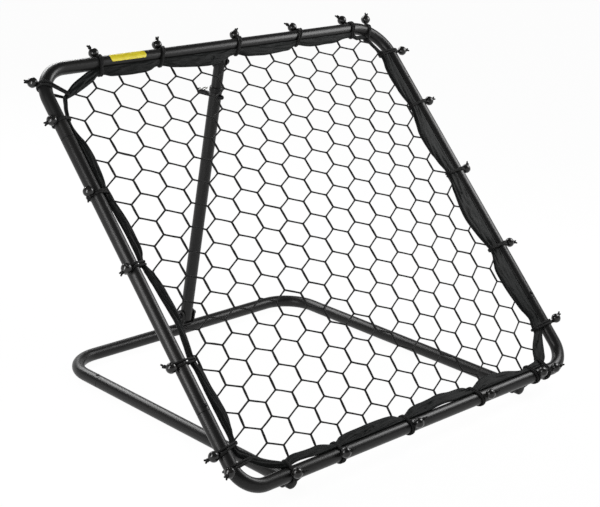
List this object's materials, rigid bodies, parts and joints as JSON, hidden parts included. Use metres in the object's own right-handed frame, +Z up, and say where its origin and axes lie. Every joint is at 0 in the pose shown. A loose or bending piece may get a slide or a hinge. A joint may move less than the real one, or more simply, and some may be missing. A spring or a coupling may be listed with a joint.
{
  "type": "soccer rebounder",
  "caption": "Tilted tube frame with an elastic-laced rebound net, hinged on a U-shaped floor base and propped by a telescopic strut with a locking pin.",
  "frame": {"origin": "on the floor, on the underside of the rear base bar at its middle", "axes": "+X to the player's right along the rear base bar, -Y toward the player, +Z up"},
  "size_m": [0.9526, 0.7292, 0.6701],
  "materials": {
    "top_frame_tube": "satin black powder coat",
    "bottom_frame_tube": "satin black powder coat",
    "left_frame_tube": "satin black powder coat",
    "right_frame_tube": "satin black powder coat",
    "left_hinge_ear_outer": "satin black powder coat",
    "left_hinge_ear_inner": "satin black powder coat",
    "right_hinge_ear_outer": "satin black powder coat",
    "right_hinge_ear_inner": "satin black powder coat",
    "head_ear_left": "satin black powder coat",
    "head_ear_right": "satin black powder coat",
    "rear_base_tube": "satin black powder coat",
    "left_leg_tube": "satin black powder coat",
    "right_leg_tube": "satin black powder coat",
    "foot_clevis": "satin black powder coat",
    "strut_lower_tube": "satin black powder coat",
    "strut_upper_tube": "satin black powder coat",
    "left_leg_cap": "moulded black",
    "right_leg_cap": "moulded black",
    "strut_collar": "moulded black",
    "pull_ring": "zinc plated",
    "head_bolt": "black zinc",
    "foot_bolt": "black zinc",
    "left_hinge_bolt": "black zinc",
    "right_hinge_bolt": "black zinc",
    "lock_pin": "black zinc",
    "left_lower_button": "black zinc",
    "right_lower_button": "black zinc",
    "left_upper_button": "black zinc",
    "right_upper_button": "black zinc",
    "left_leg_button": "black zinc",
    "right_leg_button": "black zinc",
    "net_hem": "woven black",
    "net": "knotted black cord",
    "tie_top_1": "black ball on elastic cord",
    "tie_top_2": "black ball on elastic cord",
    "tie_top_3": "black ball on elastic cord",
    "tie_top_4": "black ball on elastic cord",
    "tie_top_5": "black ball on elastic cord",
    "tie_right_1": "black ball on elastic cord",
    "tie_right_2": "black ball on elastic cord",
    "tie_right_3": "black ball on elastic cord",
    "tie_right_4": "black ball on elastic cord",
    "tie_right_5": "black ball on elastic cord",
    "tie_bottom_1": "black ball on elastic cord",
    "tie_bottom_2": "black ball on elastic cord",
    "tie_bottom_3": "black ball on elastic cord",
    "tie_bottom_4": "black ball on elastic cord",
    "tie_bottom_5": "black ball on elastic cord",
    "tie_left_1": "black ball on elastic cord",
    "tie_left_2": "black ball on elastic cord",
    "tie_left_3": "black ball on elastic cord",
    "tie_left_4": "black ball on elastic cord",
    "tie_left_5": "black ball on elastic cord",
    "tie_top_right": "black ball on elastic cord",
    "tie_bottom_right": "black ball on elastic cord",
    "tie_bottom_left": "black ball on elastic cord",
    "tie_top_left": "black ball on elastic cord",
    "top_bar_label": "bare yellow film"
  },
  "bodies": {
    "base": {"rear_base_tube": "rear_base_tube", "left_leg_tube": "left_leg_tube", "right_leg_tube": "right_leg_tube", "left_leg_cap": "left_leg_cap", "right_leg_cap": "right_leg_cap", "foot_clevis": "foot_clevis", "foot_bolt": "foot_bolt", "left_hinge_bolt": "left_hinge_bolt", "right_hinge_bolt": "right_hinge_bolt"},
    "frame": {"top_frame_tube": "top_frame_tube", "bottom_frame_tube": "bottom_frame_tube", "left_frame_tube": "left_frame_tube", "right_frame_tube": "right_frame_tube", "left_hinge_ear_outer": "left_hinge_ear_outer", "left_hinge_ear_inner": "left_hinge_ear_inner", "right_hinge_ear_outer": "right_hinge_ear_outer", "right_hinge_ear_inner": "right_hinge_ear_inner", "head_ear_left": "head_ear_left", "head_ear_right": "head_ear_right", "head_bolt": "head_bolt", "net_hem": "net_hem", "net": "net", "tie_top_1": "tie_top_1", "tie_top_2": "tie_top_2", "tie_top_3": "tie_top_3", "tie_top_4": "tie_top_4", "tie_top_5": "tie_top_5", "tie_right_1": "tie_right_1", "tie_right_2": "tie_right_2", "tie_right_3": "tie_right_3", "tie_right_4": "tie_right_4", "tie_right_5": "tie_right_5", "tie_bottom_1": "tie_bottom_1", "tie_bottom_2": "tie_bottom_2", "tie_bottom_3": "tie_bottom_3", "tie_bottom_4": "tie_bottom_4", "tie_bottom_5": "tie_bottom_5", "tie_left_1": "tie_left_1", "tie_left_2": "tie_left_2", "tie_left_3": "tie_left_3", "tie_left_4": "tie_left_4", "tie_left_5": "tie_left_5", "tie_top_right": "tie_top_right", "tie_bottom_right": "tie_bottom_right", "tie_bottom_left": "tie_bottom_left", "tie_top_left": "tie_top_left", "top_bar_label": "top_bar_label"},
    "strut_lower": {"strut_lower_tube": "strut_lower_tube", "strut_collar": "strut_collar"},
    "strut_upper": {"strut_upper_tube": "strut_upper_tube"},
    "lock_pin": {"lock_pin": "lock_pin"},
    "pull_ring": {"pull_ring": "pull_ring"},
    "left_lower_button": {"left_lower_button": "left_lower_button"},
    "right_lower_button": {"right_lower_button": "right_lower_button"},
    "left_upper_button": {"left_upper_button": "left_upper_button"},
    "right_upper_button": {"right_upper_button": "right_upper_button"},
    "left_leg_button": {"left_leg_button": "left_leg_button"},
    "right_leg_button": {"right_leg_button": "right_leg_button"}
  },
  "joints": [
    {"name": "frame_tilt", "type": "hinge", "parent": "base", "child": "frame", "pos_m": [0, -0.6622, 0.01227], "axis": [1, 0, 0], "range_deg": [0, 12]},
    {"name": "strut_swing", "type": "hinge", "parent": "base", "child": "strut_lower", "pos_m": [0, -0.007, 0.046], "axis": [1, 0, 0], "range_deg": [0, 10]},
    {"name": "strut_slide", "type": "slide", "parent": "strut_lower", "child": "strut_upper", "axis": [0, -0.16, 0.9871], "range_m": [0, 0.1355]},
    {"name": "pin_pull", "type": "slide", "parent": "strut_lower", "child": "lock_pin", "axis": [0, 0.9998, 0.0211], "range_m": [0, 0.04]},
    {"name": "ring_swing", "type": "hinge", "parent": "lock_pin", "child": "pull_ring", "pos_m": [0, -0.03843, 0.543], "axis": [1, 0, 0], "range_deg": [-300, 6]},
    {"name": "left_lower_press", "type": "slide", "parent": "frame", "child": "left_lower_button", "axis": [0, 0.7187, -0.6953], "range_m": [0, 0.0035], "stiffness_N_per_m": 900},
    {"name": "right_lower_press", "type": "slide", "parent": "frame", "child": "right_lower_button", "axis": [0, 0.7187, -0.6953], "range_m": [0, 0.0035], "stiffness_N_per_m": 900},
    {"name": "left_upper_press", "type": "slide", "parent": "frame", "child": "left_upper_button", "axis": [0, -0.7187, 0.6953], "range_m": [0, 0.0035], "stiffness_N_per_m": 900},
    {"name": "right_upper_press", "type": "slide", "parent": "frame", "child": "right_upper_button", "axis": [-1, 0, 0], "range_m": [0, 0.0035], "stiffness_N_per_m": 900},
    {"name": "left_leg_press", "type": "slide", "parent": "base", "child": "left_leg_button", "axis": [0, 0, -1], "range_m": [0, 0.0035], "stiffness_N_per_m": 900},
    {"name": "right_leg_press", "type": "slide", "parent": "base", "child": "right_leg_button", "axis": [0, 0, -1], "range_m": [0, 0.0035], "stiffness_N_per_m": 900}
  ],
  "couplings": [
    {"joint": "strut_swing", "follows": "frame_tilt", "ratio": 0.8135},
    {"joint": "strut_slide", "follows": "frame_tilt", "m_per_rad": 0.645}
  ]
}
